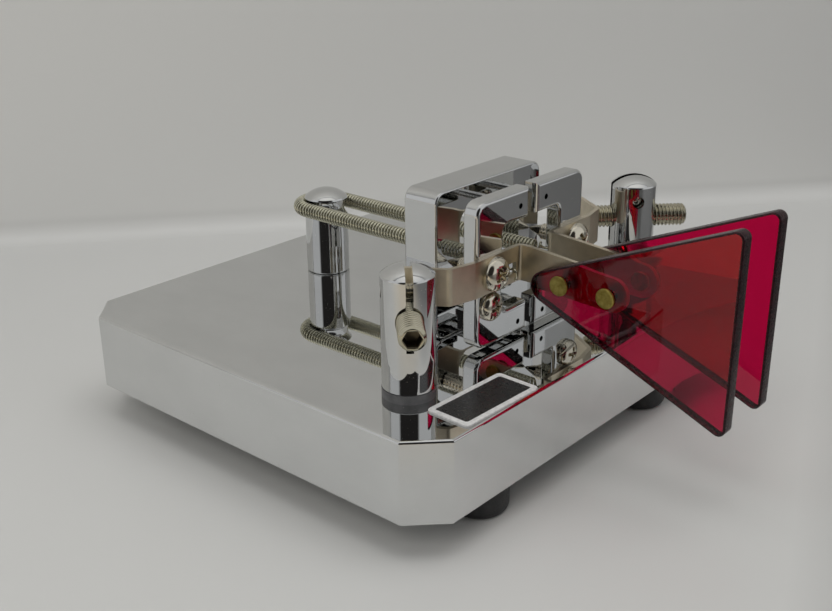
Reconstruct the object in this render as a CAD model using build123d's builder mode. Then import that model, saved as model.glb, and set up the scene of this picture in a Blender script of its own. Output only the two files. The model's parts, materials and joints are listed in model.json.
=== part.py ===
"""Iambic morse key: two sprung paddle levers on a heavy chrome-plated base.

Frame: millimetres, +X to the operator's right, -Y towards the operator, +Z up.
The origin is on the desk, under the centre of the base.
"""
from build123d import *
import os

os.makedirs("parts", exist_ok=True)

# ---- driving dimensions -------------------------------------------------------------------
BASE_W, BASE_D, BASE_T = 101.6, 95.25, 15.875   # 4 x 3 3/4 x 5/8 inch steel plate
BASE_CORNER = 6.35                              # bevel across each upright corner
BASE_EDGE = 0.55                                # rounding of the rims of the top and bottom faces
FOOT_H, FOOT_R, FOOT_ROUND = 7.3, 5.6, 1.8
FOOT_X, FOOT_Y = 28.0, 40.0
TOP = FOOT_H + BASE_T                           # height of the base's top face

POST_R = 9.525 / 2                              # posts turned from 3/8 inch rod
POST_X, POST_Y, POST_H = 36.3, -30.8, 24.1      # contact posts, top above the base
POST_DOME, POST_CREASE, POST_FOOT = 1.9, 0.5, 0.2    # domed top, its rim, bevel at the bottom
INSULATOR_T = 1.6
AXIS_Z = 15.0                                   # contact screws and long spring, above the base
CLAMP_Z = 19.1
SLOT_W, SLOT_LOW = 1.3, 9.6                     # split that lets the clamp screw grip

REAR_Y, REAR_H = 25.6, 19.0                     # spring post
SPRING_R = 1.65                                 # outside radius of the long spring
WAIST_R = 3.9                                   # bottom of the groove that holds it
STRAND_X = WAIST_R + SPRING_R + 0.05
STRAND_END = -27.4
HOOK_R, HOOK_X, HOOK_BACK, HOOK_FRONT, HOOK_DROP = 0.35, 7.4, -29.6, -32.2, 2.0
HOOK_BEND = 0.5

FRAME_W, FRAME_H = 33.0, 29.5
FRAME_FRONT, FRAME_BACK = -20.3, -12.4
FRAME_SIDE, FRAME_BAR = 7.0, 4.8
FRAME_CORNER, WINDOW_CORNER, FRAME_EDGE = 2.4, 3.0, 0.45

LEVER_IN, LEVER_OUT = 1.3, 17.0
LEVER_LOW, LEVER_HIGH = 1.0, 29.5
LEVER_FRONT, LEVER_BACK = -30.5, -27.1
LEVER_SIDE, LEVER_BAR = 7.8, 5.8
LEVER_CORNER, LEVER_INSIDE = 2.6, 1.6
LEVER_FRONT_EDGE, LEVER_BACK_EDGE = 0.8, 0.4    # rounding of the polished edges
PIVOT_X, PIVOT_LOW, PIVOT_HIGH = 4.1, 3.2, 26.4
PIN_R, CUP_R, CUP_DEPTH, VENT_R = 0.75, 0.95, 1.6, 0.55

STRIP_T, STRIP_LOW, STRIP_HIGH = 0.9, 12.3, 19.3
SCREW_X, STRIP_SCREW_Z, STOP_SCREW_Z = 13.2, 15.8, 9.2
ARM_X, ARM_R = 4.3, 3.2                         # inner face and end radius of the finger arm
ARM_END_Y, ARM_END_Z = -52.2, 14.6

PADDLE_T, PADDLE_Z = 3.0, 13.4
PADDLE_END, PADDLE_HALF = -76.6, 18.2           # far edge, and half its height
NOSE_Y, NOSE_R, PADDLE_CORNER = -39.0, 3.0, 1.4
RIVET_Y, RIVET_Z = (-42.4, -52.2), 14.6
RIVET_R, RIVET_HEAD_R, RIVET_HEAD_T = 1.25, 1.9, 0.45

CONTACT_R = 4.75 / 2                            # 10-32 socket set screw, 7/8 inch long
CONTACT_IN, CONTACT_OUT = 9.1, 11.3             # reach each side of the post's axis
CONTACT_HEX, CONTACT_HEX_DEPTH = 1.4, 3.0
TIP_R, TIP_T, TIP_SEAT = 1.0, 0.8, 0.8          # silver rod: standing proud, and sunk in the screw
CLAMP_R, CLAMP_L, CLAMP_SINK = 1.25, 7.4, 0.3
CLAMP_HEX, CLAMP_HEX_DEPTH = 0.65, 1.4
FIT = 0.03                                      # radial clearance of a shank in its hole

LABEL_W, LABEL_D, LABEL_T = 19.6, 9.2, 0.4
LABEL_X, LABEL_Y, LABEL_TURN, LABEL_CORNER = -30.0, -42.4, -1.5, 0.9

WELL_R, WELL_DEPTH = 5.4, 9.0                   # recess under each contact post
SEAT_R, SEAT_DEPTH = 3.8, 6.0                   # recess for each screw into the live metal
BUSH_R, BUSH_FLANGE_R, BUSH_FLANGE_T = 3.3, 5.2, 1.2
BOLT_R, BOLT_HEAD_R, BOLT_HEAD_T = 2.0, 3.4, 2.4
LUG_T = 0.6
FOOT_SCREW_R, FOOT_HEAD_R, FOOT_HEAD_T = 1.5, 2.8, 1.6
FOOT_SEAT, FOOT_SEAT_R, FOOT_HOLE = 3.2, 3.2, 8.0    # recess in the rubber, hole in the plate
FOOT_SCREW_L = 11.6
POST_HOLE, REAR_HOLE, FRAME_HOLE = 6.0, 7.0, 4.0     # blind holes that take the screws from below
SCREW_SPARE = 0.5                               # what each screw stops short of the hole's end


def save(part, name):
    """Label a finished piece and write it under its own name."""
    part.label = name
    export_step(part, f"parts/{name}.step")


def save_pair(part, name):
    """Write a right-hand piece, and its mirror image for the left-hand side."""
    save(part, f"right_{name}")
    save(mirror(part, about=Plane.YZ), f"left_{name}")


def level(height):
    """Horizontal plane a given height above the base's top face."""
    return Plane.XY.offset(TOP + height)


def front_plane(y):
    """Upright plane at a given depth: local x is +X, local y is the height above the base."""
    return Plane(origin=(0, y, TOP), x_dir=(1, 0, 0), z_dir=(0, -1, 0))


def side_plane(x):
    """Upright plane at a given X: local x is +Y, local y is the height above the base."""
    return Plane(origin=(x, 0, TOP), x_dir=(0, 1, 0), z_dir=(1, 0, 0))


# The contact screw's own frame: z runs from the post's axis towards the lever.
CONTACT_PLANE = Plane(origin=(POST_X, POST_Y, TOP + AXIS_Z), x_dir=(-1, -1, 0), z_dir=(-1, 1, 0))
# The clamp screw crosses the split above it: z points to the operator's side of the post.
CLAMP_PLANE = Plane(origin=(POST_X, POST_Y, TOP + CLAMP_Z), x_dir=(1, -1, 0), z_dir=(-1, -1, 0))
POST_PLACES = [(POST_X, POST_Y), (-POST_X, POST_Y)]
FRAME_Y = (FRAME_FRONT + FRAME_BACK) / 2
FRAME_SCREWS = [(sx * 10.0, FRAME_Y) for sx in (-1, 1)]
EARTH_SCREWS = FRAME_SCREWS + [(0, REAR_Y)]
FEET = [(sx * FOOT_X, sy * FOOT_Y) for sx in (-1, 1) for sy in (-1, 1)]

# ---- base ---------------------------------------------------------------------------------
with BuildPart() as base_plate:
    with BuildSketch(Plane.XY.offset(FOOT_H)) as plate_outline:
        Rectangle(BASE_W, BASE_D)
        chamfer(plate_outline.vertices(), BASE_CORNER)
    extrude(amount=BASE_T)
    rims = base_plate.faces().sort_by(Axis.Z)
    fillet(rims[-1].edges() + rims[0].edges(), BASE_EDGE)
    with Locations(*[(x, y, FOOT_H) for x, y in POST_PLACES]):
        Cylinder(WELL_R, WELL_DEPTH, align=(Align.CENTER, Align.CENTER, Align.MIN),
                 mode=Mode.SUBTRACT)
        Cylinder(BUSH_R + FIT, BASE_T, align=(Align.CENTER, Align.CENTER, Align.MIN),
                 mode=Mode.SUBTRACT)
    with Locations(*[(x, y, FOOT_H) for x, y in EARTH_SCREWS]):
        Cylinder(SEAT_R, SEAT_DEPTH, align=(Align.CENTER, Align.CENTER, Align.MIN),
                 mode=Mode.SUBTRACT)
        Cylinder(BOLT_R + FIT, BASE_T, align=(Align.CENTER, Align.CENTER, Align.MIN),
                 mode=Mode.SUBTRACT)
    with Locations(*[(x, y, FOOT_H) for x, y in FEET]):
        Cylinder(FOOT_SCREW_R + FIT, FOOT_HOLE, align=(Align.CENTER, Align.CENTER, Align.MIN),
                 mode=Mode.SUBTRACT)
save(base_plate.part, "base_plate")

with BuildPart() as rubber_feet:
    with Locations(*[(x, y, 0) for x, y in FEET]):
        Cylinder(FOOT_R, FOOT_H, align=(Align.CENTER, Align.CENTER, Align.MIN))
    fillet(rubber_feet.edges().group_by(Axis.Z)[0], FOOT_ROUND)
    with Locations(*[(x, y, 0) for x, y in FEET]):
        Cylinder(FOOT_SEAT_R, FOOT_SEAT, align=(Align.CENTER, Align.CENTER, Align.MIN),
                 mode=Mode.SUBTRACT)
        Cylinder(FOOT_SCREW_R + FIT, FOOT_H, align=(Align.CENTER, Align.CENTER, Align.MIN),
                 mode=Mode.SUBTRACT)
save(rubber_feet.part, "rubber_feet")


def cross_recess(radius, depth):
    """Phillips recess cut down from the current locations."""
    for turn in (0, 90):
        Box(radius * 1.15, radius * 0.3, depth * 2, rotation=(0, 0, turn), mode=Mode.SUBTRACT)


with BuildPart() as foot_screws:
    with Locations(*[(x, y, FOOT_SEAT - FOOT_HEAD_T) for x, y in FEET]):
        Cylinder(FOOT_HEAD_R, FOOT_HEAD_T, align=(Align.CENTER, Align.CENTER, Align.MIN))
    fillet(foot_screws.edges().group_by(Axis.Z)[0], 0.7)
    with Locations(*[(x, y, FOOT_SEAT) for x, y in FEET]):
        Cylinder(FOOT_SCREW_R, FOOT_SCREW_L, align=(Align.CENTER, Align.CENTER, Align.MIN))
    with Locations(*[(x, y, FOOT_SEAT - FOOT_HEAD_T) for x, y in FEET]):
        cross_recess(FOOT_HEAD_R, 0.9)
save(foot_screws.part, "foot_screws")

with BuildPart() as label_plate:
    with BuildSketch(Plane(origin=(LABEL_X, LABEL_Y, TOP)).rotated((0, 0, LABEL_TURN))):
        RectangleRounded(LABEL_W, LABEL_D, LABEL_CORNER)
    extrude(amount=LABEL_T)
    chamfer(label_plate.edges().group_by(Axis.Z)[-1], 0.1)
save(label_plate.part, "label_plate")

# ---- contact posts and what holds them ----------------------------------------------------
def turned_post(x, y, low, height):
    """Round post turned from rod: a fine bevel at its foot, a shallow dome on top."""
    shoulder = height - POST_DOME
    with BuildSketch(Plane(origin=(x, y, low), x_dir=(1, 0, 0), z_dir=(0, -1, 0))) as profile:
        with BuildLine():
            Polyline((0, height), (0, 0), (POST_R, 0), (POST_R, shoulder))
            TangentArc((0, height), (POST_R, shoulder), tangent=(1, 0))
        make_face()
        rim = profile.vertices().group_by(Axis.X)[-1].sort_by(Axis.Z)
        chamfer(rim[0], POST_FOOT)
        fillet(rim[-1], POST_CREASE)
    revolve(profile.sketch, axis=Axis((x, y, low), (0, 0, 1)))


with BuildPart() as contact_post:
    turned_post(POST_X, POST_Y, TOP + INSULATOR_T, POST_H - INSULATOR_T)
    with Locations((POST_X, POST_Y, TOP + INSULATOR_T)):
        Cylinder(BOLT_R + FIT, POST_HOLE, align=(Align.CENTER, Align.CENTER, Align.MIN),
                 mode=Mode.SUBTRACT)
    with Locations(CONTACT_PLANE):
        Cylinder(CONTACT_R + FIT, 4 * POST_R, mode=Mode.SUBTRACT)
    with Locations(CONTACT_PLANE.offset(-POST_R - 0.1)):
        Cone(CONTACT_R + 0.75, CONTACT_R, 0.9, align=(Align.CENTER, Align.CENTER, Align.MIN),
             mode=Mode.SUBTRACT)
    with BuildSketch(CONTACT_PLANE):
        with Locations((0, (POST_H + SLOT_LOW) / 2 - AXIS_Z)):
            Rectangle(SLOT_W, POST_H - SLOT_LOW)
    extrude(amount=2 * POST_R, both=True, mode=Mode.SUBTRACT)
    with Locations(CLAMP_PLANE):
        Cylinder(CLAMP_R, 4 * POST_R, mode=Mode.SUBTRACT)
save_pair(contact_post.part, "contact_post")

with BuildPart() as clamp_screw:
    with Locations(CLAMP_PLANE.offset(CLAMP_SINK - POST_R)):
        Cylinder(CLAMP_R - FIT, CLAMP_L, align=(Align.CENTER, Align.CENTER, Align.MIN))
    chamfer(clamp_screw.faces().filter_by(GeomType.PLANE).edges(), 0.25)
    with BuildSketch(CLAMP_PLANE.offset(CLAMP_SINK - POST_R)):
        RegularPolygon(CLAMP_HEX, 6, major_radius=False)
    extrude(amount=CLAMP_HEX_DEPTH, mode=Mode.SUBTRACT)
save_pair(clamp_screw.part, "clamp_screw")

with BuildPart() as contact_screw:
    with Locations(CONTACT_PLANE.offset(-CONTACT_OUT)):
        Cylinder(CONTACT_R, CONTACT_OUT + CONTACT_IN,
                 align=(Align.CENTER, Align.CENTER, Align.MIN))
    chamfer(contact_screw.faces().filter_by(GeomType.PLANE).edges(), 0.5)
    with BuildSketch(CONTACT_PLANE.offset(-CONTACT_OUT)):
        RegularPolygon(CONTACT_HEX, 6, major_radius=False)
    extrude(amount=CONTACT_HEX_DEPTH, mode=Mode.SUBTRACT)
    with Locations(CONTACT_PLANE.offset(CONTACT_IN)):
        Cylinder(TIP_R + FIT, 2 * TIP_SEAT, mode=Mode.SUBTRACT)
save_pair(contact_screw.part, "contact_screw")

with BuildPart() as contact_tip:
    with Locations(CONTACT_PLANE.offset(CONTACT_IN - TIP_SEAT)):
        Cylinder(TIP_R, TIP_SEAT + TIP_T, align=(Align.CENTER, Align.CENTER, Align.MIN))
    nose = contact_tip.faces().sort_by(Axis(CONTACT_PLANE.origin, CONTACT_PLANE.z_dir))[-1]
    fillet(nose.edges(), 0.3)
save_pair(contact_tip.part, "contact_tip")

with BuildPart() as post_insulators:
    with BuildSketch(Plane.XY.offset(TOP)):
        with Locations(*POST_PLACES):
            Circle(POST_R + 0.05)
            Circle(BUSH_R + FIT, mode=Mode.SUBTRACT)
    extrude(amount=INSULATOR_T)
save(post_insulators.part, "post_insulators")

BUSH_Z = FOOT_H + WELL_DEPTH                    # the flange bears on the recess's ceiling
with BuildPart() as post_bushings:
    with Locations(*[(x, y, BUSH_Z) for x, y in POST_PLACES]):
        Cylinder(BUSH_FLANGE_R, BUSH_FLANGE_T, align=(Align.CENTER, Align.CENTER, Align.MAX))
        Cylinder(BUSH_R, TOP + INSULATOR_T - BUSH_Z,
                 align=(Align.CENTER, Align.CENTER, Align.MIN))
        Cylinder(BOLT_R + FIT, 4 * WELL_DEPTH, mode=Mode.SUBTRACT)
save(post_bushings.part, "post_bushings")

LUG_Z = BUSH_Z - BUSH_FLANGE_T                  # each lug hangs under its bushing
LUG_R = 4.4
with BuildPart() as solder_lugs:
    with BuildSketch(Plane.XY.offset(LUG_Z - LUG_T)):
        with Locations(*POST_PLACES):
            Circle(LUG_R)
            Circle(BOLT_R + FIT, mode=Mode.SUBTRACT)
    extrude(amount=LUG_T)
    with BuildSketch(Plane.XZ.offset(-POST_Y - LUG_R)):
        with Locations((POST_X, LUG_Z - 2.6), (-POST_X, LUG_Z - 2.6)):
            SlotOverall(5.2, 2.6, rotation=90)
            with Locations((0, -1.3)):
                Circle(0.6, mode=Mode.SUBTRACT)
    extrude(amount=LUG_T)
save(solder_lugs.part, "solder_lugs")


def pan_screw(place, head_z, shank):
    """Pan-head screw driven upwards: its head hangs below head_z, its shank rises above."""
    with Locations((place[0], place[1], head_z)):
        Cylinder(BOLT_HEAD_R, BOLT_HEAD_T, align=(Align.CENTER, Align.CENTER, Align.MAX))
        Cylinder(BOLT_R, shank, align=(Align.CENTER, Align.CENTER, Align.MIN))
    with Locations((place[0], place[1], head_z - BOLT_HEAD_T)):
        cross_recess(BOLT_HEAD_R, 1.3)


with BuildPart() as post_screws:
    for place in POST_PLACES:
        pan_screw(place, LUG_Z - LUG_T, TOP + INSULATOR_T + POST_HOLE - SCREW_SPARE - LUG_Z + LUG_T)
    fillet(post_screws.edges().group_by(Axis.Z)[0].filter_by(GeomType.CIRCLE), 1.0)
save(post_screws.part, "post_screws")

# ---- spring post --------------------------------------------------------------------------
GROOVE_DEPTH, GROOVE_HALF = POST_R - WAIST_R, SPRING_R + 0.25
GROOVE_R = (GROOVE_HALF ** 2 + GROOVE_DEPTH ** 2) / (2 * GROOVE_DEPTH)
with BuildPart() as spring_post:
    turned_post(0, REAR_Y, TOP, REAR_H)
    with Locations((0, REAR_Y, TOP + AXIS_Z)):
        Torus(WAIST_R + GROOVE_R, GROOVE_R, mode=Mode.SUBTRACT)
    with Locations((0, REAR_Y, TOP)):
        Cylinder(BOLT_R + FIT, REAR_HOLE, align=(Align.CENTER, Align.CENTER, Align.MIN),
                 mode=Mode.SUBTRACT)
save(spring_post.part, "spring_post")

with BuildPart() as spring_post_screw:
    pan_screw((0, REAR_Y), FOOT_H + SEAT_DEPTH, BASE_T - SEAT_DEPTH + REAR_HOLE - SCREW_SPARE)
save(spring_post_screw.part, "spring_post_screw")

# ---- main frame and its needle pins -------------------------------------------------------
PIN_PLACES = [(sx * PIVOT_X, z) for sx in (-1, 1) for z in (PIVOT_LOW, PIVOT_HIGH)]
PIN_SEAT = 3.9                                  # how far each pin is pressed into the frame
PIN_POINT = 1.3                                 # length of the needle point
with BuildPart() as main_frame:
    with BuildSketch(front_plane(FRAME_BACK)) as ring:
        with Locations((0, FRAME_H / 2)):
            RectangleRounded(FRAME_W, FRAME_H, FRAME_CORNER)
            RectangleRounded(FRAME_W - 2 * FRAME_SIDE, FRAME_H - 2 * FRAME_BAR, WINDOW_CORNER,
                             mode=Mode.SUBTRACT)
    extrude(amount=FRAME_BACK - FRAME_FRONT)
    fillet(main_frame.faces().sort_by(Axis.Y)[0].outer_wire().edges(), FRAME_EDGE)
    fillet(main_frame.faces().sort_by(Axis.Y)[-1].outer_wire().edges(), FRAME_EDGE)
    with Locations(*[(x, y, TOP) for x, y in FRAME_SCREWS]):
        Cylinder(BOLT_R + FIT, FRAME_HOLE, align=(Align.CENTER, Align.CENTER, Align.MIN),
                 mode=Mode.SUBTRACT)
    with BuildSketch(front_plane(FRAME_FRONT)):
        with Locations(*PIN_PLACES):
            Circle(PIN_R + FIT)
    extrude(amount=-PIN_SEAT - 0.1, mode=Mode.SUBTRACT)
save(main_frame.part, "main_frame")

with BuildPart() as frame_screws:
    for place in FRAME_SCREWS:
        pan_screw(place, FOOT_H + SEAT_DEPTH, BASE_T - SEAT_DEPTH + FRAME_HOLE - SCREW_SPARE)
save(frame_screws.part, "frame_screws")

with BuildPart() as pivot_pins:
    with BuildSketch(front_plane(FRAME_FRONT + PIN_SEAT)):
        with Locations(*PIN_PLACES):
            Circle(PIN_R)
    extrude(amount=FRAME_FRONT + PIN_SEAT - LEVER_BACK)
    chamfer(pivot_pins.faces().sort_by(Axis.Y)[:len(PIN_PLACES)].edges(), 0.2)
    with Locations(front_plane(LEVER_BACK)):
        with Locations(*PIN_PLACES):
            Cone(PIN_R - 0.2, 0.1, PIN_POINT, align=(Align.CENTER, Align.CENTER, Align.MIN))
save(pivot_pins.part, "pivot_pins")

# ---- levers -------------------------------------------------------------------------------
LEVER_W, LEVER_H = LEVER_OUT - LEVER_IN, LEVER_HIGH - LEVER_LOW
LEVER_CENTRE = ((LEVER_IN + LEVER_OUT) / 2, (LEVER_LOW + LEVER_HIGH) / 2)
LEVER_PIVOTS = [(PIVOT_X, PIVOT_LOW), (PIVOT_X, PIVOT_HIGH)]
SHANK_R = 1.7                                   # strip screw and stop screw
with BuildPart() as lever:
    with BuildSketch(front_plane(LEVER_BACK)) as lever_outline:
        with Locations(LEVER_CENTRE):
            Rectangle(LEVER_W, LEVER_H)
        fillet(lever_outline.vertices().group_by(Axis.X)[-1], LEVER_CORNER)
        # The window is open on the side that faces the other lever.
        with Locations((LEVER_IN, LEVER_CENTRE[1])):
            RectangleRounded(2 * (LEVER_W - LEVER_SIDE), LEVER_H - 2 * LEVER_BAR, LEVER_INSIDE,
                             mode=Mode.SUBTRACT)
    extrude(amount=LEVER_BACK - LEVER_FRONT)
    fillet(lever.faces().sort_by(Axis.Y)[0].edges(), LEVER_FRONT_EDGE)
    fillet(lever.faces().sort_by(Axis.Y)[-1].edges(), LEVER_BACK_EDGE)
    with Locations(front_plane(LEVER_BACK)):
        with Locations(*LEVER_PIVOTS):
            Cylinder(CUP_R, 2 * CUP_DEPTH, mode=Mode.SUBTRACT)
            Cylinder(VENT_R, 20, mode=Mode.SUBTRACT)
        with Locations((SCREW_X, STRIP_SCREW_Z), (SCREW_X, STOP_SCREW_Z)):
            Cylinder(SHANK_R + FIT, 20, mode=Mode.SUBTRACT)
save_pair(lever.part, "lever")


def round_screw(depth, head_r, head_t, tail):
    """Round-head Phillips screw facing the operator at the current location.

    The head stands on the plane of the location, and the tail runs back to the main frame.
    """
    Cylinder(head_r, 0.35 * head_t, align=(Align.CENTER, Align.CENTER, Align.MIN))
    with Locations((0, 0, 0.35 * head_t)):
        Cone(head_r, 0.62 * head_r, 0.65 * head_t, align=(Align.CENTER, Align.CENTER, Align.MIN))
    Cylinder(SHANK_R, depth - tail, align=(Align.CENTER, Align.CENTER, Align.MAX))


TAIL_GAP = 0.06                                 # each tail just clears the frame at rest
STRIP_FACE = LEVER_FRONT - STRIP_T
POINT_L, POINT_R = 3.6, 0.12
STRIP_HEAD_R, STRIP_HEAD_T = 3.3, 2.3
STOP_HEAD_R, STOP_HEAD_T = 2.8, 2.0
with BuildPart() as strip_screw:
    with Locations(front_plane(STRIP_FACE)):
        with Locations((SCREW_X, STRIP_SCREW_Z)):
            round_screw(FRAME_FRONT - TAIL_GAP - STRIP_FACE, STRIP_HEAD_R, STRIP_HEAD_T, POINT_L)
            with Locations((0, 0, STRIP_FACE - FRAME_FRONT + TAIL_GAP)):
                Cone(POINT_R, SHANK_R, POINT_L, align=(Align.CENTER, Align.CENTER, Align.MIN))
            with Locations((0, 0, STRIP_HEAD_T)):
                cross_recess(STRIP_HEAD_R, 1.2)
save_pair(strip_screw.part, "strip_screw")

with BuildPart() as stop_screw:
    with Locations(front_plane(LEVER_FRONT)):
        with Locations((SCREW_X, STOP_SCREW_Z)):
            round_screw(FRAME_FRONT - TAIL_GAP - LEVER_FRONT, STOP_HEAD_R, STOP_HEAD_T, 0)
            with Locations((0, 0, STOP_HEAD_T)):
                cross_recess(STOP_HEAD_R, 1.0)
save_pair(stop_screw.part, "stop_screw")

# ---- contact strips: flat on the lever, bent back to the contact, forward to the paddle ----
STRIP_LINE = LEVER_FRONT - STRIP_T / 2
ARM_LINE = ARM_X + STRIP_T / 2
ARM_START = -33.6
TAB_BEND = Vector(24.0, -29.7, 0)
TAB_DIR = Vector(0.532, 0.847, 0)
TAB_LENGTH = 10.4
TAB_FACE = Vector(TAB_DIR.Y, -TAB_DIR.X, 0)     # outward normal of the tab
TAB_END = TAB_BEND + TAB_DIR * TAB_LENGTH
PAD_ALONG = 8.12                                # where the contact screw's axis meets the tab
PAD_R, PAD_T = 1.4, 0.4
HOLE_IN, HOLE_Z, HOLE_H = 6.3, 15.2, 2.2        # opening in the strip that the spring hooks into
SLOT_L, SLOT_H = 5.4, 3.7                       # slot the strip screw clamps through
STRIP_BEND = 1.1
with BuildPart() as contact_strip:
    with BuildSketch(level(STRIP_LOW)):
        with BuildLine():
            FilletPolyline((ARM_LINE, ARM_START), (ARM_LINE, STRIP_LINE), (18.6, STRIP_LINE),
                           (TAB_BEND.X, TAB_BEND.Y), (TAB_END.X, TAB_END.Y), radius=STRIP_BEND)
        trace(line_width=STRIP_T)
    extrude(amount=STRIP_HIGH - STRIP_LOW)
    with BuildSketch(side_plane(ARM_X)):
        with BuildLine():
            Line((ARM_START, STRIP_LOW), (ARM_START, STRIP_HIGH))
            CenterArc((ARM_END_Y, ARM_END_Z), ARM_R, 0, 360)
        make_hull()
    extrude(amount=STRIP_T)
    with BuildSketch(side_plane(ARM_X)):
        with Locations(*[(y, RIVET_Z) for y in RIVET_Y]):
            Circle(RIVET_R + FIT)
    extrude(amount=STRIP_T, mode=Mode.SUBTRACT)
    with BuildSketch(front_plane(LEVER_FRONT)):
        with Locations((SCREW_X, STRIP_SCREW_Z)):
            SlotOverall(SLOT_L, SLOT_H)
        with Locations(((HOLE_IN + SCREW_X) / 2, HOLE_Z)):
            Rectangle(SCREW_X - HOLE_IN, HOLE_H)
    extrude(amount=STRIP_T, both=True, mode=Mode.SUBTRACT)
save_pair(contact_strip.part, "contact_strip")

PAD_AT = TAB_BEND + TAB_DIR * PAD_ALONG + TAB_FACE * (STRIP_T / 2)
with BuildPart() as contact_pad:
    with Locations(Plane(origin=(PAD_AT.X, PAD_AT.Y, TOP + AXIS_Z), z_dir=TAB_FACE)):
        Cylinder(PAD_R, PAD_T, align=(Align.CENTER, Align.CENTER, Align.MIN))
    fillet(contact_pad.faces().sort_by(Axis((0, 0, 0), TAB_FACE))[-1].edges(), 0.15)
save_pair(contact_pad.part, "contact_pad")

# ---- paddles ------------------------------------------------------------------------------
PADDLE_X = ARM_X + STRIP_T                      # the paddle lies on the arm's outer face
with BuildPart() as paddle:
    with BuildSketch(side_plane(PADDLE_X)):
        with BuildLine():
            CenterArc((NOSE_Y, PADDLE_Z), NOSE_R, 0, 360)
            for sz in (-1, 1):
                corner = (PADDLE_END + PADDLE_CORNER, PADDLE_Z + sz * (PADDLE_HALF - PADDLE_CORNER))
                CenterArc(corner, PADDLE_CORNER, 0, 360)
        make_hull()
    extrude(amount=PADDLE_T)
    fillet(paddle.faces().filter_by(Axis.X).edges(), 0.3)
    with BuildSketch(side_plane(PADDLE_X)):
        with Locations(*[(y, RIVET_Z) for y in RIVET_Y]):
            Circle(RIVET_R + FIT)
    extrude(amount=PADDLE_T, mode=Mode.SUBTRACT)
save_pair(paddle.part, "paddle")

RIVET_SPANS = [(RIVET_R, ARM_X, STRIP_T + PADDLE_T),
               (RIVET_HEAD_R, PADDLE_X + PADDLE_T, RIVET_HEAD_T),
               (RIVET_HEAD_R, ARM_X - RIVET_HEAD_T, RIVET_HEAD_T)]
with BuildPart() as paddle_rivets:
    for radius, start, length in RIVET_SPANS:
        with BuildSketch(side_plane(start)):
            with Locations(*[(y, RIVET_Z) for y in RIVET_Y]):
                Circle(radius)
        extrude(amount=length)
    ends = paddle_rivets.faces().filter_by(Axis.X).group_by(Axis.X)
    fillet(ends[0].edges() + ends[-1].edges(), 0.3)
save_pair(paddle_rivets.part, "paddle_rivets")

# ---- the one long spring: two strands looped round the spring post ------------------------
with BuildPart() as long_spring:
    with BuildLine(level(AXIS_Z)) as loop:
        Line((-STRAND_X, STRAND_END), (-STRAND_X, REAR_Y))
        ThreePointArc((-STRAND_X, REAR_Y), (0, REAR_Y + STRAND_X), (STRAND_X, REAR_Y))
        Line((STRAND_X, REAR_Y), (STRAND_X, STRAND_END))
    with BuildSketch(Plane(origin=(-STRAND_X, STRAND_END, TOP + AXIS_Z), z_dir=(0, 1, 0))):
        Circle(SPRING_R)
    sweep(path=loop.wire())
    for sx in (-1, 1):
        with BuildLine(level(AXIS_Z)) as hook:
            FilletPolyline((sx * STRAND_X, STRAND_END + HOOK_BEND, 0),
                           (sx * STRAND_X, STRAND_END - 2 * HOOK_BEND, 0),
                           (sx * HOOK_X, HOOK_BACK, 0), (sx * HOOK_X, HOOK_FRONT, 0),
                           (sx * HOOK_X, HOOK_FRONT, -HOOK_DROP), radius=HOOK_BEND)
        with BuildSketch(Plane(origin=hook.line @ 0, z_dir=hook.line % 0)):
            Circle(HOOK_R)
        sweep(path=hook.wire())
save(long_spring.part, "long_spring")
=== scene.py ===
"""Looks of the iambic morse key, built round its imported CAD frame.

Shapes are worked out in millimetres and placed in metres, in the frame of the CAD: +X to the
operator's right, -Y towards the operator, +Z up, origin on the desk under the base's centre.
"""
import json
import math

import bmesh
import bpy
from mathutils import Matrix, Vector
from mathutils.geometry import tessellate_polygon


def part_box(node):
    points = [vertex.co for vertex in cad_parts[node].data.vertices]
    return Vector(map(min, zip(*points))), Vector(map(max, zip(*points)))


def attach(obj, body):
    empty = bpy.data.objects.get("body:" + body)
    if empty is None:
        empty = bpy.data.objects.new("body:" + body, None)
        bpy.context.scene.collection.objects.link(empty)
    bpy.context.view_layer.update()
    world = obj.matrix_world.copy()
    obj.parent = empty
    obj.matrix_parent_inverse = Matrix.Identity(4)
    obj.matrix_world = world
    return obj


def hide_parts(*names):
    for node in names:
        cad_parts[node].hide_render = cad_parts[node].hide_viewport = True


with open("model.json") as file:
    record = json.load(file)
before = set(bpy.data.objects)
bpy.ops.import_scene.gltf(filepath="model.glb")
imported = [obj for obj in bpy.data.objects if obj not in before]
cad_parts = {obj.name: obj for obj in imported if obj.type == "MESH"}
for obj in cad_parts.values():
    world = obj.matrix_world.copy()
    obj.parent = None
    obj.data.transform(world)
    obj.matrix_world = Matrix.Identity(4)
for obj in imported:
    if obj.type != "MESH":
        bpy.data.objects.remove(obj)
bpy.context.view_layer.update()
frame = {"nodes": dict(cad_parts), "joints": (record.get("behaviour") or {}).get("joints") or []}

MM = 0.001
TAU = 2 * math.pi
SIDES = ("left", "right")
JOINTS = {joint["name"]: joint for joint in frame["joints"]}
AZIMUTH, ELEVATION, ROLL = math.radians(-48.74), math.radians(21.84), math.radians(-0.53)
AWAY = Vector((-math.sin(AZIMUTH), math.cos(AZIMUTH), 0))      # level direction of the view


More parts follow.
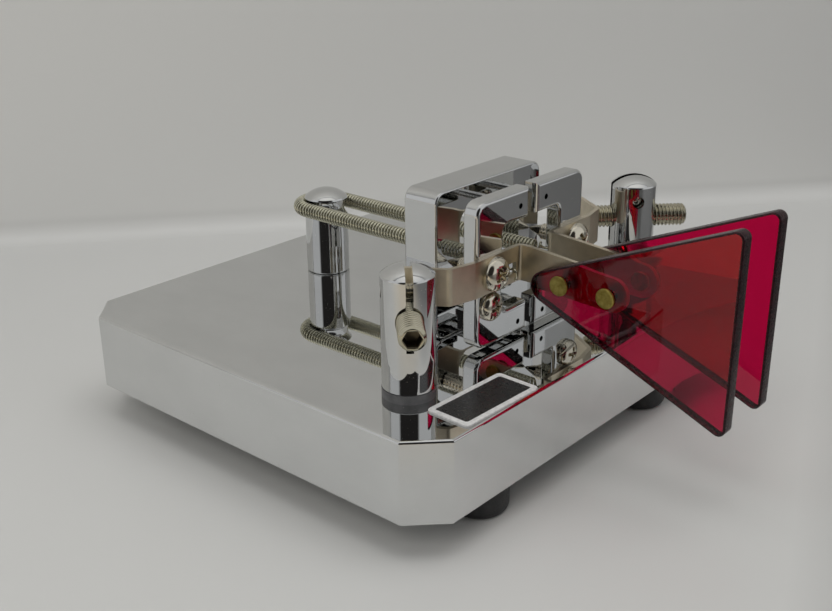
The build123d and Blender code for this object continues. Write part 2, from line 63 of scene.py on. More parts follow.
# ---- node helpers -------------------------------------------------------------------------
class Shader:
    """A material under construction: adds nodes and links them by name."""

    def __init__(self, name):
        self.material = bpy.data.materials.new(name)
        self.material.use_nodes = True
        self.tree = self.material.node_tree
        self.bsdf = self.tree.nodes["Principled BSDF"]
        self.coordinates = self.add("ShaderNodeTexCoord").outputs["Object"]

    def add(self, kind, **settings):
        node = self.tree.nodes.new(kind)
        for key, value in settings.items():
            setattr(node, key, value)
        return node

    def link(self, source, target):
        self.tree.links.new(source, target)

    def set(self, **values):
        """Sets sockets of the surface shader, as base_color=... for Base Color."""
        for key, value in values.items():
            socket = self.bsdf.inputs[key.replace("_", " ").title().replace("Ior", "IOR")]
            socket.default_value = (*value, 1.0) if isinstance(value, tuple) else value

    def stretched(self, stretch):
        """Object coordinates scaled differently along X, Y and Z."""
        mapping = self.add("ShaderNodeMapping")
        mapping.inputs["Scale"].default_value = stretch
        self.link(self.coordinates, mapping.inputs["Vector"])
        return mapping.outputs["Vector"]

    def noise(self, size_mm, detail=4.0, roughness=0.55, stretch=None):
        """Noise whose features are about size_mm across."""
        node = self.add("ShaderNodeTexNoise")
        node.inputs["Scale"].default_value = 1.0 / (size_mm * MM)
        node.inputs["Detail"].default_value = detail
        node.inputs["Roughness"].default_value = roughness
        vector = self.stretched(stretch) if stretch else self.coordinates
        self.link(vector, node.inputs["Vector"])
        return node.outputs["Fac"]

    def ramp(self, factor, low, high, start=0.35, end=0.65):
        """A value or a colour that goes from low to high as factor goes from start to end."""
        node = self.add("ShaderNodeValToRGB")
        ends = [(start, low), (end, high)]
        for element, (position, value) in zip(node.color_ramp.elements, ends):
            element.position = position
            grey = value if isinstance(value, tuple) else (value, value, value)
            element.color = (*grey, 1.0)
        self.link(factor, node.inputs["Fac"])
        return node.outputs["Color"]

    def mix(self, factor, first, second):
        """Blend of two colours, each a socket or a plain colour."""
        node = self.add("ShaderNodeMix", data_type="RGBA")
        for socket, value in ((node.inputs[0], factor), (node.inputs[6], first),
                              (node.inputs[7], second)):
            if isinstance(value, tuple):
                socket.default_value = (*value, 1.0)
            elif isinstance(value, (int, float)):
                socket.default_value = value
            else:
                self.link(value, socket)
        return node.outputs[2]

    def colour(self, source):
        self.link(source, self.bsdf.inputs["Base Color"])

    def roughness(self, source):
        self.link(source, self.bsdf.inputs["Roughness"])

    def bump(self, height, depth_mm, strength=1.0):
        node = self.add("ShaderNodeBump")
        node.inputs["Strength"].default_value = strength
        node.inputs["Distance"].default_value = depth_mm * MM
        self.link(height, node.inputs["Height"])
        self.link(node.outputs["Normal"], self.bsdf.inputs["Normal"])


# ---- materials ----------------------------------------------------------------------------
def chrome(name, tint, low, high, ripple_mm):
    """Mirror plating: finger smears, fine dust, and the faint ripple of a polished casting."""
    shader = Shader(name)
    shader.set(metallic=1.0)
    smear = shader.noise(9.0, detail=5.0, stretch=(1.0, 0.6, 1.0))
    dust = shader.noise(0.35, detail=2.0)
    specks = shader.ramp(dust, 0.0, 1.0, start=0.70, end=0.76)
    clean = shader.ramp(smear, tuple(0.95 * part for part in tint), tint)
    shader.colour(shader.mix(specks, clean, (0.62, 0.60, 0.56)))
    shader.roughness(shader.mix(specks, shader.ramp(smear, low, high), (0.35, 0.35, 0.35)))
    shader.bump(shader.noise(6.0, detail=1.0), ripple_mm)
    return shader.material


def nickel(name, tint, low, high, grain_mm, stretch=None, tarnish=0.78):
    """Warm nickel plating with tarnish in patches and a fine drawn grain."""
    shader = Shader(name)
    shader.set(metallic=1.0)
    patches = shader.noise(2.6, detail=5.0)
    grain = shader.noise(grain_mm, detail=3.0, stretch=stretch)
    dull = tuple(tarnish * part for part in tint)
    shader.colour(shader.ramp(patches, dull, tint, start=0.30, end=0.62))
    shader.roughness(shader.mix(0.5, shader.ramp(patches, high, low), shader.ramp(grain, low, high)))
    shader.bump(grain, 0.008, strength=0.5)
    return shader.material


def acrylic(name, tint, roughness):
    """Cast acrylic sheet: clear red with faint surface scuffs."""
    shader = Shader(name)
    shader.set(metallic=0.0, ior=1.44, transmission_weight=1.0)
    scuffs = shader.noise(1.2, detail=6.0, roughness=0.7, stretch=(1.0, 0.25, 2.0))
    cloud = shader.noise(14.0, detail=2.0)
    shader.colour(shader.ramp(cloud, tuple(0.94 * part for part in tint), tint))
    shader.roughness(shader.ramp(scuffs, roughness, roughness + 0.07, start=0.58, end=0.75))
    shader.bump(shader.noise(8.0, detail=1.0), 0.01)
    return shader.material


def painted_shade_edge():
    """Edge of the sheet: a near-black red, painted shade for the light lost on the long path through the
    edge, with a few lighter chips.
    """
    shader = Shader("red_acrylic_edge_painted_shade")
    chips = shader.noise(0.8, detail=6.0, roughness=0.7)
    # near-black red is painted shade for the light lost along the edge; the lighter chips are real wear
    shader.colour(shader.ramp(chips, (0.012, 0.001, 0.003), (0.060, 0.010, 0.016), 0.50, 0.78))
    shader.roughness(shader.ramp(chips, 0.16, 0.40))
    shader.set(specular_ior_level=0.30)
    shader.bump(shader.noise(0.3, detail=3.0), 0.01)
    return shader.material


def brass():
    shader = Shader("aged_brass")
    shader.set(metallic=1.0)
    stain = shader.noise(0.9, detail=6.0)
    shader.colour(shader.ramp(stain, (0.26, 0.20, 0.045), (0.46, 0.38, 0.11), 0.3, 0.65))
    shader.roughness(shader.ramp(stain, 0.50, 0.32))
    shader.bump(shader.noise(0.18, detail=3.0), 0.015)
    return shader.material


def moulded(name, dark, light, low, high, grain_mm, depth_mm):
    """Rubber, fibre or nylon: matt, slightly mottled and pitted."""
    shader = Shader(name)
    mottle = shader.noise(1.8, detail=5.0)
    pits = shader.noise(grain_mm, detail=3.0)
    shader.colour(shader.ramp(mottle, dark, light))
    shader.roughness(shader.ramp(pits, low, high))
    shader.bump(pits, depth_mm, strength=0.7)
    return shader.material


def label_film(name, tint, low, high):
    """Printed film with a slight sheen and rubbed spots."""
    shader = Shader(name)
    rub = shader.noise(0.7, detail=6.0)
    shader.colour(shader.ramp(rub, tuple(0.8 * part for part in tint), tint, 0.35, 0.6))
    shader.roughness(shader.ramp(rub, low, high))
    shader.bump(shader.noise(0.25), 0.01, strength=0.5)
    return shader.material


def paper(name, tint, upright):
    """The pale sheet that the key stands on and that rises behind it.

    Each patch takes over towards one side, between two distances in metres from the origin: a painted
    pool of warm light towards the camera, dark to the front right, and another tint where the sheet stands
    upright.
    """
    shader = Shader(name)
    tone = shader.noise(120.0, detail=2.0)
    sheet = shader.ramp(tone, tuple(0.97 * part for part in tint), tint)
    # the first patch is a painted pool of warm light on the sheet towards the camera
    patches = (((-AWAY.x, -AWAY.y, 0.0), 0.09, 0.16, (0.66, 0.60, 0.50)),
               ((0.35, -0.94, 0.0), 0.082, 0.128, (0.11, 0.11, 0.11)),
               ((0.0, 0.0, 1.0), 0.001, 0.008, upright))
    for toward, start, end, patch in patches:
        reach = shader.add("ShaderNodeVectorMath", operation="DOT_PRODUCT")
        reach.inputs[1].default_value = toward
        shader.link(shader.coordinates, reach.inputs[0])
        sheet = shader.mix(shader.ramp(reach.outputs["Value"], 0.0, 1.0, start, end), sheet, patch)
    shader.colour(sheet)
    shader.roughness(shader.ramp(tone, 0.30, 0.38))
    shader.set(specular_ior_level=0.35)
    return shader.material


CHROME = chrome("chrome", (0.64, 0.645, 0.642), 0.012, 0.035, 0.0015)
CHROME_BASE = chrome("chrome_base", (0.71, 0.715, 0.712), 0.006, 0.022, 0.001)
NICKEL = nickel("bright_nickel", (0.72, 0.67, 0.56), 0.06, 0.16, 0.30)
THREAD_NICKEL = nickel("thread_nickel", (0.52, 0.485, 0.37), 0.05, 0.14, 0.30)
SPRING_WIRE = nickel("spring_wire", (0.64, 0.62, 0.49), 0.07, 0.18, 0.30)
STRIP_NICKEL = nickel("strip_nickel", (0.72, 0.64, 0.50), 0.34, 0.42, 0.10, (0.2, 0.2, 2.0), 0.88)
SILVER = nickel("silver", (0.86, 0.84, 0.79), 0.12, 0.26, 0.10)
STEEL = nickel("plated_steel", (0.58, 0.58, 0.57), 0.18, 0.34, 0.12)
TINNED = nickel("tinned_brass", (0.70, 0.66, 0.56), 0.25, 0.42, 0.20)
ACRYLIC = acrylic("red_acrylic", (0.66, 0.006, 0.070), 0.010)
ACRYLIC_EDGE = painted_shade_edge()
# dark brown inside the hex sockets: painted shade in the recesses
SOCKET_SHADE = nickel("socket_painted_shade", (0.20, 0.17, 0.12), 0.30, 0.45, 0.15)
BRASS = brass()
RUBBER = moulded("black_rubber", (0.010, 0.010, 0.011), (0.022, 0.022, 0.022), 0.45, 0.62, 0.3, 0.03)
FIBRE = moulded("grey_fibre", (0.085, 0.087, 0.09), (0.13, 0.13, 0.135), 0.35, 0.5, 0.25, 0.02)
LABEL_BLACK = label_film("label_black", (0.014, 0.014, 0.015), 0.22, 0.38)
LABEL_SILVER = label_film("label_silver", (0.62, 0.62, 0.62), 0.30, 0.42)
PAPER = paper("pale_paper", (0.53, 0.533, 0.525), (0.66, 0.662, 0.65))


# ---- mesh helpers -------------------------------------------------------------------------
def placed(origin, z_axis):
    """Matrix from local millimetres to the row frame: local z along z_axis."""
    z = Vector(z_axis).normalized()
    x = Vector((0, 0, 1)).cross(z)
    x = x.normalized() if x.length > 1e-6 else z.orthogonal().normalized()
    y = z.cross(x)
    turn = Matrix((x, y, z)).transposed().to_4x4()
    return Matrix.Translation(Vector(origin)) @ turn @ Matrix.Scale(MM, 4)


def in_row_frame():
    """Matrix for shapes that are worked out in row-frame millimetres."""
    return Matrix.Scale(MM, 4)


class Shape:
    """Vertices and faces in millimetres, with a material number for each face."""

    def __init__(self):
        self.verts, self.faces, self.marks = [], [], []

    def loop(self, points):
        """Adds a ring of points and returns their numbers."""
        first = len(self.verts)
        self.verts += [tuple(point) for point in points]
        return list(range(first, len(self.verts)))

    def face(self, corners, mark=0):
        self.faces.append(tuple(corners))
        self.marks.append(mark)

    def bridge(self, one, two, mark=0):
        """Quads between two rings with the same number of points."""
        count = len(one)
        for i in range(count):
            j = (i + 1) % count
            self.face((one[i], one[j], two[j], two[i]), mark)

    def fill(self, outline, holes=(), mark=0):
        """Flat cap over an outline with holes."""
        rings = [outline, *holes]
        numbers = [number for ring in rings for number in ring]
        points = [[Vector(self.verts[number]) for number in ring] for ring in rings]
        for a, b, c in tessellate_polygon(points):
            self.face((numbers[a], numbers[b], numbers[c]), mark)

    def make(self, name, body, materials, matrix, replaces, sharp):
        """Turns the shape into a piece that rides on a body and stands for CAD nodes."""
        mesh = bpy.data.meshes.new(name)
        mesh.from_pydata([matrix @ Vector(v) for v in self.verts], [], self.faces)
        for material in materials:
            mesh.materials.append(material)
        mesh.polygons.foreach_set("material_index", self.marks)
        mesh.polygons.foreach_set("use_smooth", [True] * len(self.faces))
        mesh.update()
        mesh.validate()
        fix_normals(mesh)
        mesh.set_sharp_from_angle(angle=math.radians(sharp))
        piece = bpy.data.objects.new(name, mesh)
        bpy.context.collection.objects.link(piece)
        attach(piece, body)
        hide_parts(*replaces)


def fix_normals(mesh):
    """Welds doubled points and turns every face outwards."""
    grid = bmesh.new()
    grid.from_mesh(mesh)
    bmesh.ops.remove_doubles(grid, verts=grid.verts, dist=1e-7)
    bmesh.ops.recalc_face_normals(grid, faces=grid.faces)
    grid.to_mesh(mesh)
    grid.free()


def circle(radius, z, count):
    angles = [TAU * i / count for i in range(count)]
    return [(radius * math.cos(angle), radius * math.sin(angle), z) for angle in angles]


def polygon_ring(inner_radius, sides, z, count):
    """count points round a regular polygon whose sides are inner_radius from its centre."""
    points = []
    for i in range(count):
        angle = TAU * i / count
        off = (angle % (TAU / sides)) - TAU / sides / 2
        radius = inner_radius / math.cos(off)
        points.append((radius * math.cos(angle), radius * math.sin(angle), z))
    return points


def lathe(shape, profile, count):
    """A round solid from a profile of (radius, z) points, closed at both ends."""
    rings = [shape.loop(circle(radius, z, count)) for radius, z in profile]
    for one, two in zip(rings, rings[1:]):
        shape.bridge(one, two)
    shape.fill(rings[0])
    shape.fill(rings[-1])


def arc(centre, radius, first, last, steps):
    """(radius, z) points on an arc, angles in degrees from the outward direction."""
    angles = [math.radians(first + (last - first) * i / steps) for i in range(steps + 1)]
    return [(centre[0] + radius * math.cos(a), centre[1] + radius * math.sin(a)) for a in angles]


AROUND = 72                     # points round a thread, a whole number for each side of a hexagon
PER_TURN = 10                   # rings for each turn of thread
ROOT, FLANK = 0.12, 0.72        # shares of half a turn that the flat root and the flank take


def thread(shape, major, minor, pitch, low, high, start, end):
    """A threaded stretch from z low to z high with 45 degree bevels of start and end at its ends."""
    rings = []
    steps = max(2, round((high - low) / pitch * PER_TURN))
    for step in range(steps + 1):
        z = low + (high - low) * step / steps
        limit = min(major, major - start + (z - low), major - end + (high - z))
        points = []
        for i in range(AROUND):
            phase = (z / pitch - i / AROUND) % 1.0
            rise = min(1.0, max(0.0, (abs(2 * phase - 1) - ROOT) / FLANK))
            radius = min(limit, minor + (major - minor) * rise)
            angle = TAU * i / AROUND
            points.append((radius * math.cos(angle), radius * math.sin(angle), z))
        rings.append(shape.loop(points))
    for one, two in zip(rings, rings[1:]):
        shape.bridge(one, two)
    return rings


def hex_socket(shape, rim, half_across, z, depth, mark):
    """Closes an end at z with a hexagon socket sunk towards +z."""
    bevel, cone_depth = 0.12, 0.25
    mouth = shape.loop(polygon_ring(half_across + bevel, 6, z, AROUND))
    wall = shape.loop(polygon_ring(half_across, 6, z + bevel, AROUND))
    floor = shape.loop(polygon_ring(half_across, 6, z + depth, AROUND))
    cone = shape.loop(circle(half_across / 2, z + depth + cone_depth, AROUND))
    shape.bridge(rim, mouth)
    for one, two in ((mouth, wall), (wall, floor), (floor, cone)):
        shape.bridge(one, two, mark)
    shape.fill(cone, mark=mark)


def hull(circles, count, shrink=0.0):
    """Outline round some circles (x, y, radius), as a belt pulled tight round them would lie."""
    points = []
    for i in range(count):
        nx, ny = math.cos(TAU * i / count), math.sin(TAU * i / count)
        x, y, radius = max(circles, key=lambda c: c[0] * nx + c[1] * ny + c[2])
        points.append((x + (radius - shrink) * nx, y + (radius - shrink) * ny))
    return points


def box_mm(node):
    """Lowest and highest corners of a CAD node in millimetres."""
    low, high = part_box(node)
    return Vector(low) / MM, Vector(high) / MM


def along(axis, node):
    """Lowest and highest reach of a CAD node along a joint's axis, measured from its pivot."""
    joint = JOINTS[axis]
    direction, origin = Vector(joint["axis"]).normalized(), Vector(joint["pos_m"])
    mesh = frame["nodes"][node].data
    reach = [(v.co - origin).dot(direction) / MM for v in mesh.vertices]
    return min(reach), max(reach)


# ---- screws -------------------------------------------------------------------------------
PITCH = 25.4 / 32                               # 32 threads to the inch
THREAD_DEPTH = 0.34


def contact_screw(side):
    """Long socket screw of the contact post, with a seat for the silver tip in its nose."""
    axis = f"{side}_contact_turn"
    low, high = along(axis, f"{side}_contact_screw")
    radius, socket_bevel, nose_bevel = 2.375, 0.55, 0.75
    socket_half, socket_depth = 1.4, 3.0
    seat_radius, seat_depth = 1.06, 0.84
    shape = Shape()
    rings = thread(shape, radius, radius - THREAD_DEPTH, PITCH, low, high, socket_bevel, nose_bevel)
    hex_socket(shape, rings[0], socket_half, low, socket_depth, mark=1)
    mouth = shape.loop(circle(seat_radius, high, AROUND))
    floor = shape.loop(circle(seat_radius, high - seat_depth, AROUND))
    shape.bridge(rings[-1], mouth)
    shape.bridge(mouth, floor)
    shape.fill(floor)
    joint = JOINTS[axis]
    shape.make(f"{side}_threaded_contact_screw", f"{side}_adjuster", [THREAD_NICKEL, SOCKET_SHADE],
               placed(joint["pos_m"], joint["axis"]), [f"{side}_contact_screw"], sharp=55)


def clamp_screw(side):
    """Small socket set screw that closes the split of the contact post."""
    axis = f"{side}_clamp_turn"
    low, high = along(axis, f"{side}_clamp_screw")
    radius, root_radius, pitch = 1.22, 1.0, 0.5
    socket_bevel, point_bevel = 0.25, 0.35
    socket_half, socket_depth = 0.62, 1.4
    shape = Shape()
    rings = thread(shape, radius, root_radius, pitch, low, high, socket_bevel, point_bevel)
    hex_socket(shape, rings[0], socket_half, low, socket_depth, mark=1)
    shape.fill(rings[-1])
    joint = JOINTS[axis]
    shape.make(f"{side}_threaded_clamp_screw", f"{side}_clamp", [NICKEL, SOCKET_SHADE],
               placed(joint["pos_m"], joint["axis"]), [f"{side}_clamp_screw"], sharp=55)


HEAD_AROUND, HEAD_STEPS = 144, 44       # points round a domed head, and rings from rim to middle


def cross_depth(x, y, reach, width, depth):
    """How deep a Phillips recess is at (x, y): four wings with sloping sides and ends."""
    deepest = 0.0
    for u, v in ((abs(x), abs(y)), (abs(y), abs(x))):
        side = (width - v) / (0.30 * width)
        end = (reach - u) / (0.42 * reach)
        wall = max(0.0, min(1.0, side)) * max(0.0, min(1.0, end))
        deepest = max(deepest, depth * wall)
    return deepest


def round_head(shape, radius, height, turn):
    """Domed head on z = 0 with a Phillips recess. Returns the ring under its rim."""
    skirt, roundness = 0.22 * height, 2.3
    reach, width, depth = 0.56 * radius, 0.135 * radius, 0.50 * height
    rings = [shape.loop(circle(radius * 0.96, 0.0, HEAD_AROUND)),
             shape.loop(circle(radius, 0.10 * height, HEAD_AROUND))]
    for step in range(HEAD_STEPS):
        share = step / HEAD_STEPS
        ring_radius = radius * (1 - share)
        dome = skirt + (height - skirt) * math.sqrt(1 - (1 - share) ** roundness)
        points = []
        for i in range(HEAD_AROUND):
            angle = TAU * i / HEAD_AROUND
            x, y = ring_radius * math.cos(angle), ring_radius * math.sin(angle)
            u = x * math.cos(turn) + y * math.sin(turn)
            v = y * math.cos(turn) - x * math.sin(turn)
            points.append((x, y, dome - cross_depth(u, v, reach, width, depth)))
        rings.append(shape.loop(points))
    for one, two in zip(rings, rings[1:]):
        shape.bridge(one, two)
    shape.fill(rings[-1])
    return rings[0]


def lever_screw(side, node, name, body, head_radius, head_height, point, turn):
    """Phillips screw through a lever: domed head to the operator, threaded tail to the frame.

    point is the length of the cone at the tail, 0 for a flat tail, and turn is the cross's angle.
    """
    low, high = box_mm(node)
    centre = (low + high) / 2
    shank, depth, flat_bevel = 1.68, 0.26, 0.3
    head_at = low.y + head_height
    tail = high.y - head_at
    shape = Shape()
    rim = round_head(shape, head_radius, head_height, turn)
    rings = thread(shape, shank, shank - depth, PITCH, -tail + point, 0.0,
                   0.0 if point else flat_bevel, 0.0)
    neck = shape.loop(circle(shank, 0.0, HEAD_AROUND))
    shape.bridge(rim, neck)
    shape.fill(rings[-1])
    if point:
        tip = [shape.loop(circle(r, z, AROUND)) for r, z in
               ((shank - 0.1, -tail + point), (shank - 0.25, -tail + point - 0.25),
                (0.34, -tail + 0.42), (0.16, -tail + 0.08), (0.05, -tail))]
        shape.bridge(rings[0], tip[0])
        for one, two in zip(tip, tip[1:]):
            shape.bridge(one, two)
        shape.fill(tip[-1])
    else:
        shape.fill(rings[0])
    origin = Vector((centre.x, head_at, centre.z)) * MM
    shape.make(f"{side}_{name}", body, [NICKEL], placed(origin, (0, -1, 0)), [node],
               sharp=40)


# ---- the long spring ----------------------------------------------------------------------
SPRING_R, WIRE_R, COIL_PITCH = 1.65, 0.28, 0.80         # outside radius, wire radius, pitch
WIRE_AROUND, COIL_AROUND = 10, 18                       # points round the wire and round each coil
HOOK_STEPS = 8                                          # steps from each point of a hook to the next


def tube(shape, path):
    """The spring's wire along a list of points, with its section carried without twisting."""
    points = [Vector(p) for p in path]
    rings, side = [], None
    for i, point in enumerate(points):
        ahead = points[min(i + 1, len(points) - 1)] - points[max(i - 1, 0)]
        ahead.normalize()
        side = ahead.orthogonal() if side is None else side - ahead * side.dot(ahead)
        side.normalize()
        other = ahead.cross(side)
        rings.append(shape.loop([point + WIRE_R * (side * math.cos(TAU * k / WIRE_AROUND)
                                                   + other * math.sin(TAU * k / WIRE_AROUND))
                                 for k in range(WIRE_AROUND)]))
    for one, two in zip(rings, rings[1:]):
        shape.bridge(one, two)
    shape.fill(rings[0])
    shape.fill(rings[-1])


def smooth_path(points):
    """Points along a smooth curve that passes through the given ones."""
    ends = [points[0] * 2 - points[1], *points, points[-1] * 2 - points[-2]]
    path = []
    for a, b, c, d in zip(ends, ends[1:], ends[2:], ends[3:]):
        for i in range(HOOK_STEPS):
            t = i / HOOK_STEPS
            path.append(0.5 * ((2 * b) + (c - a) * t + (2 * a - 5 * b + 4 * c - d) * t * t
                               + (3 * b - a - 3 * c + d) * t ** 3))
    return path + [points[-1]]


def long_spring():
    """Close-wound spring that loops round the back post and hooks into both strips."""
    post_low, post_high = box_mm("spring_post")
    post_y = (post_low.y + post_high.y) / 2
    high = box_mm("long_spring")[1]
    coil_r = SPRING_R - WIRE_R
    run_x = (high.y - post_y) - SPRING_R
    level = high.z - SPRING_R
    end_y, hook_x = -27.4, 7.4              # where the coils stop, and where the hooks enter the strips
    straight = post_y - end_y
    bend = math.pi * run_x
    total = 2 * straight + bend
    turns = round(total / COIL_PITCH)
    path = []
    for i in range(turns * COIL_AROUND + 1):
        share = i / (turns * COIL_AROUND)
        s = share * total
        if s < straight:
            centre, outward = Vector((-run_x, end_y + s, level)), Vector((-1, 0, 0))
        elif s < straight + bend:
            angle = math.pi - (s - straight) / run_x
            outward = Vector((math.cos(angle), math.sin(angle), 0))
            centre = Vector((0, post_y, level)) + outward * run_x
        else:
            centre = Vector((run_x, end_y + total - s, level))
            outward = Vector((1, 0, 0))
        phase = TAU * turns * share
        path.append(centre + coil_r * (outward * math.cos(phase) + Vector((0, 0, 1)) * math.sin(phase)))
    shape = Shape()
    tube(shape, path)
    for sign in (-1, 1):
        hook = [(run_x + coil_r, end_y, level), (run_x + 0.9, end_y - 0.55, level + 0.95),
                (run_x + 0.2, end_y - 0.9, level + 0.75), (run_x + 0.5, end_y - 1.5, level + 0.2),
                (hook_x - 0.2, end_y - 2.1, level), (hook_x, -30.8, level),
                (hook_x, -31.9, level - 0.1), (hook_x, -32.25, level - 0.7),
                (hook_x, -32.2, level - 1.6), (hook_x, -31.95, level - 2.0)]
        tube(shape, smooth_path([Vector((sign * x, y, z)) for x, y, z in hook]))
    shape.make("wound_long_spring", "base", [SPRING_WIRE], in_row_frame(),
               ["long_spring"], sharp=60)


# ---- paddles and rivets -------------------------------------------------------------------
RIVET_HOLE, EDGE_ROUND, ARM_GAP = 1.28, 0.35, 0.08


def rivet_places(side):
    """(y, z) of the two rivets."""
    low, high = box_mm(f"{side}_paddle_rivets")
    z = (low.z + high.z) / 2
    radius = (high.z - low.z) / 2
    return [(low.y + radius, z), (high.y - radius, z)]


def paddle(side):
    """Finger piece cut from acrylic sheet, with polished, slightly rounded edges."""
    low, high = box_mm(f"{side}_paddle")
    nose, corner = 3.0, 1.4
    mid = (low.z + high.z) / 2
    circles = [(high.y - nose, mid, nose), (low.y + corner, low.z + corner, corner),
               (low.y + corner, high.z - corner, corner)]
    shape = Shape()
    steps, count, hole_count = 5, 240, 40
    loops = []
    # The face on the lever's arm stands a hair off it, so that the arm shows through the red.
    left_face = low.x + (ARM_GAP if side == "right" else 0.0)
    right_face = high.x - (ARM_GAP if side == "left" else 0.0)
    for face_x, inward in ((left_face, 1), (right_face, -1)):
        part = []
        for i in range(steps + 1):
            angle = math.pi / 2 * i / steps
            shrink, sink = EDGE_ROUND * (1 - math.sin(angle)), EDGE_ROUND * (1 - math.cos(angle))
            x = face_x + inward * sink
            part.append(shape.loop([(x, y, z) for y, z in hull(circles, count, shrink)]))
        loops.append(part)
    near, far = loops
    for part in loops:
        for one, two in zip(part, part[1:]):
            shape.bridge(one, two, mark=1)
    shape.bridge(near[-1], far[-1], mark=1)
    holes = []
    for face_x in (left_face, right_face):
        rings = []
        for y, z in rivet_places(side):
            hole = circle(RIVET_HOLE, 0, hole_count)
            rings.append(shape.loop([(face_x, y + point[0], z + point[1]) for point in hole]))
        holes.append(rings)
    for one, two in zip(*holes):
        shape.bridge(one, two, mark=1)
    shape.fill(near[0], holes[0])
    shape.fill(far[0], holes[1])
    shape.make(f"{side}_acrylic_paddle", f"{side}_key", [ACRYLIC, ACRYLIC_EDGE],
               in_row_frame(), [f"{side}_paddle"], sharp=50)


def rivets(side):
    """Two brass rivets with flat heads on both faces."""
    low, high = box_mm(f"{side}_paddle_rivets")
    shank, head, thick, rounding = 1.22, 1.9, 0.45, 0.22
    shape = Shape()
    half = (high.x - low.x) / 2
    rim = arc((head - rounding, half - rounding), rounding, -35, 90, 6)
    top = [(shank, 0), (shank, half - thick), (head - 0.08, half - thick), *rim,
           (head * 0.6, half - 0.02), (head * 0.25, half - 0.05)]
    profile = [(r, -z) for r, z in reversed(top)] + top[1:]
    for y, z in rivet_places(side):
        piece = Shape()
        lathe(piece, profile, 64)
        offset = len(shape.verts)
        shape.verts += [((low.x + high.x) / 2 + b, y + a, z + c) for a, c, b in piece.verts]
        for face in piece.faces:
            shape.face([offset + number for number in face])
    shape.make(f"{side}_brass_rivets", f"{side}_key", [BRASS], in_row_frame(),
               [f"{side}_paddle_rivets"], sharp=40)


# ---- label --------------------------------------------------------------------------------
def rounded_rectangle(width, depth, radius, steps=10):
    points = []
    for k, (sx, sy) in enumerate(((1, 1), (-1, 1), (-1, -1), (1, -1))):
        for i in range(steps + 1):
            angle = math.pi / 2 * (k + i / steps)
            points.append((sx * (width / 2 - radius) + radius * math.cos(angle),
                           sy * (depth / 2 - radius) + radius * math.sin(angle)))
    return points


def label():
    """Blank black plate with a raised silver border, turned a little on the base."""
    low, high = box_mm("label_plate")
    width, depth, radius, turn = 19.6, 9.2, 0.9, math.radians(-1.5)
    border, sunk = 1.05, 0.09
    thick = high.z - low.z
    rings = [(0.0, radius, 0.0), (0.0, radius, thick - 0.12), (0.12, radius - 0.08, thick),
             (border - 0.06, radius * 0.55, thick), (border, radius * 0.5, thick - sunk)]
    shape = Shape()
    loops = []
    for inset, corner, z in rings:
        points = rounded_rectangle(width - 2 * inset, depth - 2 * inset, corner)
        loops.append(shape.loop([(x, y, z) for x, y in points]))
    for one, two in zip(loops, loops[1:]):
        shape.bridge(one, two, mark=0)
    shape.fill(loops[-1], mark=1)
    shape.fill(loops[0], mark=0)
    centre = Vector(((low.x + high.x) / 2, (low.y + high.y) / 2, low.z)) * MM
    matrix = Matrix.Translation(centre) @ Matrix.Rotation(turn, 4, "Z") @ Matrix.Scale(MM, 4)
    shape.make("blank_label", "base", [LABEL_SILVER, LABEL_BLACK], matrix,
               ["label_plate"], sharp=30)


# ---- CAD nodes that keep their shape ------------------------------------------------------
def dress(material, *nodes):
    """Gives CAD nodes their finish."""
    for node in nodes:
        data = frame["nodes"][node].data
        data.materials.clear()
        data.materials.append(material)


dress(CHROME_BASE, "base_plate")
dress(CHROME, "main_frame", "spring_post")
dress(RUBBER, "rubber_feet")
dress(FIBRE, "post_insulators", "post_bushings")
dress(STEEL, "foot_screws", "post_screws", "frame_screws", "spring_post_screw", "pivot_pins")
dress(TINNED, "solder_lugs")
for side in SIDES:
    dress(CHROME, f"{side}_contact_post", f"{side}_lever")
    dress(STRIP_NICKEL, f"{side}_contact_strip")
    dress(SILVER, f"{side}_contact_tip", f"{side}_contact_pad")
    contact_screw(side)
    clamp_screw(side)
    lever_screw(side, f"{side}_strip_screw", "phillips_strip_screw", f"{side}_key", 3.3, 2.3, 3.6, 0.5)
    lever_screw(side, f"{side}_stop_screw", "phillips_stop_screw", f"{side}_stop", 2.8, 2.0, 0.0, 0.2)
    paddle(side)
    rivets(side)
long_spring()
label()


# ---- camera, stage and lights -------------------------------------------------------------
CAMERA_PLACE = (-0.16762, -0.14779, 0.11010)
SENSOR, LENS = 36.0, 48.5


def camera():
    back = Vector((math.sin(AZIMUTH) * math.cos(ELEVATION), -math.cos(AZIMUTH) * math.cos(ELEVATION),
                   math.sin(ELEVATION)))
    right = (-back).cross(Vector((0, 0, 1))).normalized()
    up = back.cross(right)
    across = right * math.cos(ROLL) + up * math.sin(ROLL)
    over = up * math.cos(ROLL) - right * math.sin(ROLL)
    data = bpy.data.cameras.new("camera")
    data.sensor_width, data.lens = SENSOR, LENS
    data.clip_start, data.clip_end = 0.01, 20.0
    obj = bpy.data.objects.new("camera", data)
    obj.matrix_world = Matrix.Translation(CAMERA_PLACE) @ Matrix((across, over, back)).transposed().to_4x4()
    bpy.context.collection.objects.link(obj)
    bpy.context.scene.camera = obj


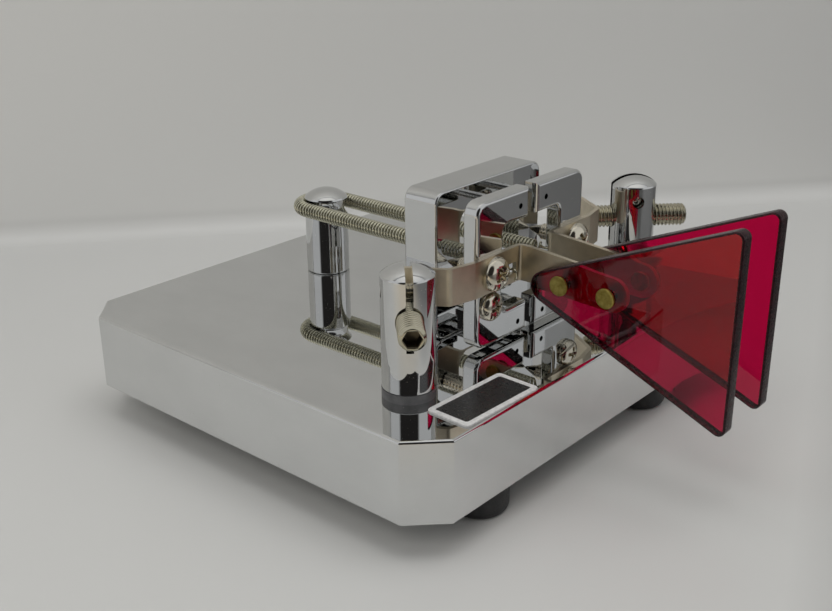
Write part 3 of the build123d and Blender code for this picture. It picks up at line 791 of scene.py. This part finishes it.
def backdrop():
    """Pale sheet that lies under the key and rises behind it, turned a little from the view."""
    behind, width, height, sweep = 0.119, 3.0, 1.6, 0.006
    front, steps, turn = -2.0, 12, math.radians(9.0)
    away = Matrix.Rotation(turn, 3, "Z") @ AWAY
    profile = [(front, 0.0), (behind, 0.0)]
    for i in range(1, steps + 1):
        angle = math.pi / 2 * i / steps
        profile.append((behind + sweep * math.sin(angle), sweep * (1 - math.cos(angle))))
    profile.append((behind + sweep, height))
    across = Vector((away.y, -away.x, 0))
    verts, faces = [], []
    for distance, z in profile:
        for sign in (-1, 1):
            verts.append(away * distance + across * sign * width / 2 + Vector((0, 0, z)))
    for i in range(len(profile) - 1):
        faces.append((2 * i, 2 * i + 1, 2 * i + 3, 2 * i + 2))
    mesh = bpy.data.meshes.new("backdrop")
    mesh.from_pydata(verts, [], faces)
    mesh.polygons.foreach_set("use_smooth", [True] * len(faces))
    mesh.materials.append(PAPER)
    obj = bpy.data.objects.new("backdrop", mesh)
    bpy.context.collection.objects.link(obj)


def area_light(name, place, target, width, height, watts, tint):
    data = bpy.data.lights.new(name, "AREA")
    data.shape, data.size, data.size_y = "RECTANGLE", width, height
    data.energy, data.color = watts, tint
    obj = bpy.data.objects.new(name, data)
    obj.location = place
    obj.rotation_euler = (Vector(target) - Vector(place)).to_track_quat("-Z", "Y").to_euler()
    obj.visible_glossy = False
    bpy.context.collection.objects.link(obj)


def tent():
    """Pale surroundings: a brighter ceiling, and a dark patch where the operator would stand."""
    world = bpy.data.worlds.new("tent")
    world.use_nodes = True
    tree = world.node_tree
    glow = tree.nodes["Background"]
    direction = tree.nodes.new("ShaderNodeTexCoord").outputs["Generated"]
    colour = (0.90, 0.91, 0.92, 1.0)
    patches = [((0.15, 0.10, 1.0), 0.86, 0.97, (1.25, 1.24, 1.20)),
               ((-AWAY.x, -AWAY.y, 0.42), 0.76, 0.84, (0.035, 0.033, 0.032))]
    for aim, start, end, tint in patches:
        reach = tree.nodes.new("ShaderNodeVectorMath")
        reach.operation = "DOT_PRODUCT"
        reach.inputs[1].default_value = Vector(aim).normalized()
        tree.links.new(direction, reach.inputs[0])
        ramp = tree.nodes.new("ShaderNodeValToRGB")
        for element, position, grey in zip(ramp.color_ramp.elements, (start, end), (0.0, 1.0)):
            element.position, element.color = position, (grey, grey, grey, 1.0)
        tree.links.new(reach.outputs["Value"], ramp.inputs["Fac"])
        mix = tree.nodes.new("ShaderNodeMix")
        mix.data_type = "RGBA"
        tree.links.new(ramp.outputs["Color"], mix.inputs[0])
        if isinstance(colour, tuple):
            mix.inputs[6].default_value = colour
        else:
            tree.links.new(colour, mix.inputs[6])
        mix.inputs[7].default_value = (*tint, 1.0)
        colour = mix.outputs[2]
    tree.links.new(colour, glow.inputs["Color"])
    glow.inputs["Strength"].default_value = 0.68
    bpy.context.scene.world = world


def studio():
    tent()
    area_light("overhead", (0.05, -0.05, 0.9), (0, 0, 0), 0.9, 0.9, 5.0, (1.0, 0.99, 0.97))
    area_light("front_left", (-0.75, -0.35, 0.65), (0, 0, 0.03), 0.5, 0.5, 3.2, (1.0, 0.97, 0.92))
    view = bpy.context.scene.view_settings
    view.view_transform, view.look = "Standard", "None"


camera()
backdrop()
studio()
